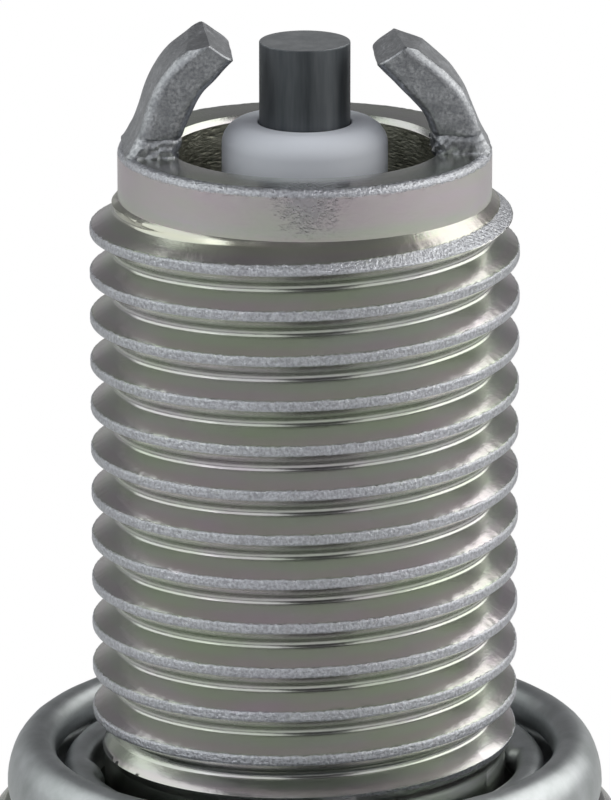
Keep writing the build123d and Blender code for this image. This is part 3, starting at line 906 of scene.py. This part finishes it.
insulator_outline = (
    rounded([
        (column_r, bare_end_z),
        (head_r, bare_end_z, 0.9 * mm),
        (head_r, head_end_z + 1.3 * mm),
    ])
    + list(ribs())
    + rounded([
        (head_r, collar_end - (collar_r - head_r)),
        (collar_r, collar_end, body_edge),
        (collar_r, collar_top, body_edge),
        (body_r, collar_top + collar_r - body_r, body_edge),
        (body_r, ceramic_seat - seat_slope * (body_r - nose_root_r + seat_edge), body_edge),
        (nose_root_r, ceramic_seat + seat_slope * seat_edge, body_edge),
        (nose_root_r, seat_level + 3.2 * mm, 0.5 * mm),
        (nose_r, nose_z - 2.6 * mm, 2.0 * mm),
        (nose_r, nose_z, 0.6 * mm),
        (electrode_bore_r, nose_z, 0.05 * mm),
        (electrode_bore_r, nose_z - 1.0 * mm),
    ])
    + [
        (electrode_bore_r, electrode_step_z),
        (column_r, electrode_step_z - (column_r - electrode_bore_r)),
    ]
)
insulator_mesh = spun("insulator_body", insulator_outline, 192, sharp=40)
given_finishes(
    insulator_mesh, [bare_ceramic, glazed_ceramic], lambda middle: middle.z < shell_end_z + 1 * mm
)
finished(insulator_mesh, "plug", "white_ceramic", "insulator")

# %% The centre electrode
electrode_r, electrode_head_r, core_r = 1.245 * mm, 1.65 * mm, 0.75 * mm
electrode_head_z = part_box("centre_electrode")[0].z
core_top = electrode_z - 2.2 * mm
ground_dip = 0.004 * mm
wire_outline = rounded([
    (core_r, electrode_head_z),
    (electrode_head_r, electrode_head_z, 0.2 * mm),
    (electrode_head_r, electrode_step_z - 0.375 * mm, 0.1 * mm),
    (electrode_r, electrode_step_z + 0.03 * mm),
    (electrode_r, rim_z - 1 * mm),
    (electrode_r, electrode_z, 0.045 * mm),
    (0.6 * mm, electrode_z - ground_dip),
    (0, electrode_z - ground_dip),
]) + [(0, core_top), (core_r, core_top)]
wire_mesh = spun("centre_electrode_wire", wire_outline, 160, sharp=40)
given_finishes(
    wire_mesh, [dark_nickel, ground_nickel], lambda middle: middle.z > electrode_z - 0.01 * mm
)
finished(wire_mesh, "plug", "dark_nickel", "centre_electrode")

# %% [markdown]
# ### Side electrodes
# Each side electrode is a bar of nickel alloy, welded upright on the rim and bent in towards the centre
# electrode. Bending thins its end, so its outer and inner faces have lines of their own: straight, round a
# bend, and straight again. It is made as a row of rounded rectangles between those two lines. Shears cut
# the free end and leave a slanting facet on its outer corner, and the weld squeezes a ragged collar of
# metal out at the foot.

# %% The lines of a bar's two wide faces
bar_width, bar_edge = 2.75 * mm, 0.32 * mm
corner_steps, side_steps = 5, (24, 9)
end_length, end_slope = 1.06 * mm, 35
outer_line = {"tip_slope": 38.5, "leg_slope": 72, "bend_radius": 3.0 * mm, "foot_r": pilot_r - 0.15 * mm}
inner_line = {"tip_slope": 46, "leg_slope": 68, "bend_radius": 1.85 * mm, "foot_r": mouth_r - 0.03 * mm}
buried = 0.3 * mm


def downhill(slope):
    """The direction outwards and down at a slope, in the plane through the axis."""
    return Vector((math.cos(math.radians(slope)), -math.sin(math.radians(slope))))


def face_line(tip, tip_slope, leg_slope, bend_radius, foot_r, shares):
    """Places on a bar's face, at shares of the way from its free end to the rim."""
    way, leg, foot = downhill(tip_slope), downhill(leg_slope), Vector((foot_r, rim_z))
    between = foot - tip
    run = (between.x * leg.y - between.y * leg.x) / (way.x * leg.y - way.y * leg.x)
    line = np.array(rounded([tip, (*(tip + way * run), bend_radius), foot], 3))
    lengths = np.concatenate([[0], np.cumsum(np.hypot(*np.diff(line, axis=0).T))])
    places = [np.interp(np.array(shares) * lengths[-1], lengths, line[:, axis]) for axis in (0, 1)]
    return [Vector(place) for place in zip(*places)]


def bar_section(thickness):
    """A rounded rectangle: across the bar's width, and from 0 inside to its thickness outside."""
    half, edge = bar_width / 2, bar_edge
    low, high = edge, thickness - edge
    centres = [(half - edge, high), (edge - half, high), (edge - half, low), (half - edge, low)]
    corners = []
    for index, centre in enumerate(centres):
        ways = [downhill(-90 * (index + step / corner_steps)) for step in range(corner_steps + 1)]
        corners.append([Vector(centre) + way * edge for way in ways])
    section = []
    for index, corner in enumerate(corners):
        goal = corners[(index + 1) % 4][0]
        runs = side_steps[index % 2]
        section += corner + [corner[-1].lerp(goal, step / runs) for step in range(1, runs)]
    return section


# %% Squeezed-out weld metal, and the facet at the free end
collar_height, collar_fade, collar_reach = 0.46 * mm, 0.12 * mm, 0.05 * mm
slit_height, slit_width, slit_depth = 0.50 * mm, 0.05 * mm, 0.06 * mm
foot_height, foot_reach = 0.08 * mm, 0.06 * mm


def weld_collar(height, place, seed):
    """How far the weld's ragged collar stands out at a height over the rim."""
    lumps = noise.noise(place / (0.17 * mm) + Vector((seed, 0, 0)))
    drift = 0.10 * mm * noise.noise(place / (0.7 * mm) + Vector((0, seed, 0)))
    collar = min(max((collar_height + drift - height) / collar_fade, 0), 1)
    slit = math.exp(-(((height - drift - slit_height) / slit_width) ** 2))
    foot = math.exp(-max(height, 0) / foot_height)
    ragged = (collar_reach * collar + foot_reach * foot) * (0.8 + 1.5 * lumps)
    return ragged - slit_depth * slit


def shear(shape, corners):
    """Cuts a closed shape along the plane through three corners and closes the cut."""
    first, second, third = corners
    normal = (second - first).cross(third - first).normalized()
    if normal.z < 0:
        normal = -normal
    cut = bmesh.ops.bisect_plane(
        shape, geom=shape.verts[:] + shape.edges[:] + shape.faces[:], dist=1e-7,
        plane_co=first, plane_no=normal, clear_outer=True,
    )
    rim = [item for item in cut["geom_cut"] if isinstance(item, bmesh.types.BMEdge)]
    facet = bmesh.ops.contextual_create(shape, geom=rim)["faces"]
    bmesh.ops.poke(shape, faces=facet)


# %% One side electrode
# Rows lie closer together near the foot, where the weld's collar needs them.
row_shares = [0, 0.012] + [0.03 + 0.75 * step / 32 for step in range(33)]
row_shares += [0.78 + 0.22 * step / 17 for step in range(1, 18)]
end_edge, collar_zone, flare_height, clear_zone = 0.08 * mm, 0.9 * mm, 0.30 * mm, 0.6 * mm


def side_electrode(name, node, gap, tip_rise, setting, seed, facet, flare, slimmer):
    """A bar set at an angle round the axis. Its bend thins it by slimmer, and its foot spreads by flare.

    facet says where the shears' cut meets the end's front and rear edges and, on one side, the outer face:
    each is a distance from the bar's outer tip.
    """
    inner_tip = Vector((electrode_r + gap, rim_z + tip_rise))
    outer_tip = inner_tip + downhill(-end_slope) * end_length
    lines = list(zip(
        face_line(inner_tip, shares=row_shares, **inner_line),
        face_line(outer_tip, shares=row_shares, **outer_line),
    ))
    down = Vector((0, -buried))
    lines += [(lines[-1][0] + down * step / 3, lines[-1][1] + down * step / 3) for step in (1, 2, 3)]
    turned = Vector((math.cos(setting), math.sin(setting), 0))
    across = Vector((-turned.y, turned.x, 0))

    def in_space(flat, across_by):
        return turned * flat.x + across * across_by + Vector((0, 0, flat.y))

    shape = bmesh.new()
    rings = []
    for order, (inner, outer) in enumerate(lines):
        up_the_leg = min(max(outer.y - rim_z, 0) / tip_rise, 1)
        thickness = (outer - inner).length - slimmer * math.sin(math.pi * up_the_leg ** 0.7)
        depth_way = (outer - inner).normalized()
        ring = []
        for point in bar_section(thickness):
            across_by, depth = point
            if order == 0:
                across_by *= 1 - end_edge / bar_width
                depth = thickness / 2 + (depth - thickness / 2) * (1 - end_edge / thickness)
            place = in_space(inner + depth_way * depth, across_by)
            if place.z < rim_z + collar_zone:
                sideways, outwards = (2 * across_by / bar_width) ** 3, (2 * depth / thickness - 1) ** 3
                ragged = across * sideways + turned * min(outwards, 0)
                place += ragged * weld_collar(place.z - rim_z, place, seed)
                near_foot = math.exp(-max(place.z - rim_z, 0) / flare_height)
                place += turned * max(outwards, 0) * flare * near_foot
            # Nothing of the foot stands out past the pilot, and what is buried stays inside it.
            flat = math.hypot(place.x, place.y)
            reach_limit = pilot_r if place.z > rim_z - 0.05 * mm else pilot_r - 0.03 * mm
            if place.z < rim_z + clear_zone and flat > reach_limit:
                place.xy *= reach_limit / flat
            ring.append(shape.verts.new(place))
        rings.append(ring)
    count = len(rings[0])
    for low, high in zip(rings, rings[1:]):
        for index in range(count):
            after = (index + 1) % count
            shape.faces.new((low[index], low[after], high[after], high[index]))
    for ring in (rings[0], rings[-1]):
        shape.faces.new(ring)
    bmesh.ops.recalc_face_normals(shape, faces=shape.faces)
    front = math.copysign(bar_width / 2, -across.y)
    end_way, outer_way = -downhill(-end_slope), downhill(outer_line["tip_slope"])
    wide_side = front if facet["wide_side"] == "front" else -front
    shear(shape, (
        in_space(outer_tip + end_way * facet["front"], front),
        in_space(outer_tip + end_way * facet["rear"], -front),
        in_space(outer_tip + outer_way * facet["outer"], wide_side),
    ))
    for vertex in shape.verts:
        wobble = noise.noise_vector(vertex.co / (0.55 * mm) + Vector((seed, 0, 0)))
        vertex.co += Vector(wobble) * 0.022 * mm
    print(name, "open edges:", open_edges(shape))
    mesh = meshed(name, shape, 30)
    given_finishes(mesh, [bar_nickel])
    finished(mesh, "plug", "bar_nickel", node)


setting_angle = math.radians(3.5)
side_electrode(
    "side_electrode_right", "ground_electrode_right", gap=0.64 * mm, tip_rise=2.46 * mm,
    setting=setting_angle, seed=3, flare=0.10 * mm, slimmer=0.04 * mm,
    facet={"front": 0.12 * mm, "rear": 0.30 * mm, "outer": 0.75 * mm, "wide_side": "rear"},
)
side_electrode(
    "side_electrode_left", "ground_electrode_left", gap=0.74 * mm, tip_rise=2.64 * mm,
    setting=setting_angle + math.pi, seed=17, flare=0.0, slimmer=0.16 * mm,
    facet={"front": 0.26 * mm, "rear": 0.12 * mm, "outer": 0.55 * mm, "wide_side": "front"},
)

# %% [markdown]
# ### Gasket
# The gasket is one ring of sheet steel, pressed into a hollow bead outside and folded up into a lip inside.
# Four places of the lip are staked in towards the neck, so that it can't drop off over the thread. The
# sheet's middle line is drawn once, and its two faces lie half a thickness to each side.

# %% The gasket's sheet
sheet_half = 0.17 * mm
lip_line_r = neck_r + 0.35 * mm + sheet_half
fold_r = 0.22 * mm
fold_line_z = 1.52 * mm - sheet_half - fold_r
bead_top, bead_line_r = gasket_z - sheet_half, gasket_r - sheet_half
curl_r = 0.35 * mm
bead_inner_r = gasket_r - 1.35 * mm + sheet_half


def arc(centre_r, centre_z, radius, start, end, count=10, squash=1.0):
    """Points of an arc, from one angle to another in degrees."""
    for step in range(count + 1):
        swing = math.radians(start + (end - start) * step / count)
        yield centre_r + radius * squash * math.cos(swing), centre_z + radius * math.sin(swing)


bead_wide_z = 0.72 * mm
bead_under, bead_over = bead_wide_z - sheet_half, bead_top - bead_wide_z
bead_centre_r = bead_inner_r + curl_r
bead_reach = bead_line_r - bead_centre_r
middle_line = (
    [(lip_line_r, fold_line_z - 0.65 * mm), (lip_line_r, fold_line_z - 0.3 * mm)]
    + list(arc(lip_line_r + fold_r, fold_line_z, fold_r, 180, 0))
    + [(lip_line_r + 2 * fold_r + 0.34 * mm, sheet_half)]
    + [(bead_inner_r + 0.1 * mm, sheet_half)]
    + list(arc(bead_centre_r, bead_wide_z, bead_under, -90, 0, 10, bead_reach / bead_under))
    + list(arc(bead_centre_r, bead_wide_z, bead_over, 9, 90, 9, bead_reach / bead_over))
    + list(arc(bead_centre_r, bead_top - curl_r, curl_r, 100, 180, 8))
    + [(bead_inner_r, bead_top - curl_r - 0.3 * mm)]
)
upper_face, lower_face = [], []
for index, point in enumerate(middle_line):
    before = Vector(middle_line[max(index - 1, 0)])
    after = Vector(middle_line[min(index + 1, len(middle_line) - 1)])
    way = (after - before).normalized()
    side = Vector((-way.y, way.x)) * sheet_half
    upper_face.append(tuple(Vector(point) + side))
    lower_face.append(tuple(Vector(point) - side))
gasket_outline = lower_face + upper_face[::-1]
gasket_mesh = spun("gasket_ring", gasket_outline, 240, sharp=45)
stake_angles = [math.radians(190 + 90 * step) for step in range(4)]
stake_half, stake_push, stake_dip = 0.6 * mm, 0.24 * mm, 0.06 * mm
for vertex in gasket_mesh.vertices:
    radius = math.hypot(vertex.co.x, vertex.co.y)
    if radius < lip_line_r + fold_r and vertex.co.z > fold_line_z - 0.4 * mm:
        angle = math.atan2(vertex.co.y, vertex.co.x)
        off = min(abs(math.remainder(angle - stake, 2 * math.pi)) for stake in stake_angles) * radius
        push = max(0, 1 - (off / stake_half) ** 4)
        vertex.co.xy *= 1 - push * stake_push / radius
        vertex.co.z -= push * stake_dip
unevenly(gasket_mesh, 0.9 * mm, 0.012 * mm, lambda place: 1)
given_finishes(gasket_mesh, [gasket_steel])
finished(gasket_mesh, "gasket", "gasket_steel", "gasket")

# %% [markdown]
# ### Terminal nut and the pieces inside
# The terminal nut is what the plug cap snaps on. The stud and the pieces sealed inside the ceramic keep
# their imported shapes, which are right, and get their finishes.

# %% The terminal nut
nut_bore_r, nut_waist_r = 2.005 * mm, 2.45 * mm
waist_low_z, waist_high_z, nut_bevel = nut_seat_z - 3.7 * mm, nut_seat_z - 2.0 * mm, 0.2 * mm
nut_outline = rounded([
    (nut_bore_r, nut_end_z),
    (nut_r, nut_end_z, 0.7 * mm),
    (nut_r, waist_low_z - (nut_r - nut_waist_r) / 2, 0.25 * mm),
    (nut_waist_r, waist_low_z, 0.3 * mm),
    (nut_waist_r, waist_high_z, 0.1 * mm),
    (nut_r, waist_high_z, 0.12 * mm),
    (nut_r, nut_seat_z - nut_bevel, 0.05 * mm),
    (nut_r - nut_bevel, nut_seat_z, 0.05 * mm),
    (nut_bore_r, nut_seat_z),
])
nut_mesh = spun("terminal_nut_body", nut_outline, 128, sharp=40)
given_finishes(nut_mesh, [nut_plating])
finished(nut_mesh, "terminal_nut", "nut_plating", "terminal_nut")

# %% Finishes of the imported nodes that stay
kept_finishes = {
    "terminal_stud": stud_steel,
    "centre_electrode_core": copper,
    "lower_glass_seal": seal_glass,
    "upper_glass_seal": seal_glass,
    "resistor": resistor_mass,
    "talc_seal": talc,
    "seat_packing": packing_steel,
    "lower_packing_ring": packing_steel,
    "upper_packing_ring": packing_steel,
}
for node_name, kept_finish in kept_finishes.items():
    given_finishes(nodes[node_name].data, [kept_finish])
print("finished:", ", ".join(kept_finishes))

# %% [markdown]
# ## Floor, lights and camera
# Metal shows what is around it, so the room matters as much as the lamps. A broad soft box stands at each
# side of the plug, a little behind it, the right one brighter, and gives the flanks their bright streaks.
# Two weaker ones stand in front of the shoulders, and one hangs over the camera. The room between them is
# dim and gives the middle its depth. The white surround is only for the camera, and the floor fades into
# it away from the plug, so its edge never shows while the plug keeps its shadow.



# %% The floor
def shader_mix(tree, share, first, second, output):
    """Lets one shader fade into another, and gives the result to the tree's output."""
    mix = add_node(tree, "ShaderNodeMixShader", {"Fac": share, 1: first.outputs[0], 2: second.outputs[0]})
    plug_in(tree, mix.outputs[0], tree.nodes[output].inputs["Surface"])


floor_size, fade_from, fade_over = 0.6, 0.02, 0.08
floor_mesh = bpy.data.meshes.new("floor")
floor_shape = bmesh.new()
bmesh.ops.create_grid(floor_shape, x_segments=8, y_segments=8, size=floor_size)
floor_shape.to_mesh(floor_mesh)
floor_shape.free()
floor_mesh.transform(Matrix.Translation((0, 0, cad_box[0].z)))
floor = add_piece("floor", floor_mesh)
material, tree, shader, place = new_material("pale_floor", Roughness=0.85)
paper = use_group(tree, mottle, place, **two_tones(25, 1.2, (0.80, 0.80, 0.80), (0.84, 0.84, 0.84)))
plug_in(tree, paper.outputs["Color"], shader.inputs["Base Color"])
level_place = add_node(tree, "ShaderNodeMapping", {"Vector": place, "Scale": (1, 1, 0)}).outputs[0]
from_plug = add_node(tree, "ShaderNodeVectorMath", {0: level_place}, operation="LENGTH")
fade = ((value_of(tree, from_plug, "Value") - fade_from) / fade_over).share()
floor_path = tree.nodes.new("ShaderNodeLightPath")
seen_white = fade * value_of(tree, floor_path, "Is Camera Ray")
surround = add_node(tree, "ShaderNodeEmission", {"Color": (1, 1, 1, 1), "Strength": 1.0})
shader_mix(tree, seen_white, shader, surround, "Material Output")
floor_mesh.materials.append(material)
print("floor at", round(cad_box[0].z / mm, 2), "mm")

# %% The room: dim, a little lighter towards the backdrop, and white to the camera
room_level, backdrop_level, horizon_level, dark_level = 0.15, 0.05, 0.30, 0.04
world = bpy.data.worlds.new("studio")
bpy.context.scene.world = world
world.use_nodes = True
tree = world.node_tree
room = tree.nodes["Background"]
white = add_node(tree, "ShaderNodeBackground", {"Color": (1, 1, 1, 1), "Strength": 1.0})
direction = tree.nodes.new("ShaderNodeTexCoord").outputs["Generated"]
direction = add_node(tree, "ShaderNodeSeparateXYZ", {"Vector": direction})
away, upwards = value_of(tree, direction, "Y"), value_of(tree, direction, "Z")
# The backdrop's glow starts a little behind the plug. Only the room right behind the camera is dark.
behind = ((away - 0.1) / 0.6).share()
beside = ((away + 0.94) / 0.14).share()
dim = beside * (room_level - dark_level) + dark_level
plug_in(tree, joined(tree, dim, dim, dim * 1.02), room.inputs["Color"])
path = tree.nodes.new("ShaderNodeLightPath")
mirrored = value_of(tree, path, "Is Glossy Ray") + value_of(tree, path, "Is Transmission Ray")
near_horizon = (1 - upwards.calculated("ABSOLUTE") / 0.22).most(0)
glow = behind * (near_horizon * horizon_level + backdrop_level)
shown = (value_of(tree, path, "Is Camera Ray") + mirrored * glow).least(1)
shader_mix(tree, shown, room, white, "World Output")
print("world:", world.name)

# %% Five soft boxes
target = Vector((0.02 * mm, 0, 11.73 * mm))


def aimed(holder, azimuth, elevation, distance):
    """Puts a lamp or the camera so far from the plug and points it there. Angles are in degrees."""
    azimuth, elevation = math.radians(azimuth), math.radians(elevation)
    level_way = Vector((math.sin(azimuth), -math.cos(azimuth), 0)) * math.cos(elevation)
    way = level_way + Vector((0, 0, math.sin(elevation)))
    holder.location = target + way * distance
    holder.rotation_euler = (-way).to_track_quat("-Z", "Y").to_euler()


def soft_box(name, azimuth, elevation, distance, width, height, brightness, colour):
    """A soft box that looks at the plug. Azimuth 0 is the camera's side, and 90 is the right."""
    lamp = bpy.data.lights.new(name, "AREA")
    lamp.shape, lamp.size, lamp.size_y, lamp.color = "RECTANGLE", width, height, colour
    lamp.energy = brightness * math.pi * width * height
    aimed(add_piece(name, lamp), azimuth, elevation, distance)


soft_box("soft_box_right", 106, 30, 0.5, 0.62, 0.44, 1.9, (1.0, 1.0, 0.96))
soft_box("soft_box_right_front", 50, 28, 0.5, 0.36, 0.44, 0.8, (1.0, 1.0, 0.98))
soft_box("soft_box_left", -95, 30, 0.5, 0.60, 0.50, 1.1, (0.97, 1.0, 0.97))
soft_box("soft_box_left_front", -40, 28, 0.5, 0.46, 0.44, 0.8, (0.98, 1.0, 1.0))
soft_box("soft_box_over", -10, 62, 0.6, 0.36, 0.26, 0.8, (0.97, 0.98, 1.0))
print("lamps:", len(bpy.data.lights))

# %% The camera
camera_distance, camera_elevation = 0.21, 16.0
view_width = 16.84 * mm
lens = bpy.data.cameras.new("camera")
lens.sensor_fit = "HORIZONTAL"
lens.sensor_width = 36.0
lens.lens = lens.sensor_width * camera_distance / view_width
lens.clip_start, lens.clip_end = 0.01, 20
camera = add_piece("camera", lens)
aimed(camera, 0, camera_elevation, camera_distance)
bpy.context.scene.camera = camera
bpy.context.scene.view_settings.view_transform = "Standard"
print("camera:", round(lens.lens, 1), "mm lens,", camera_distance, "m away")
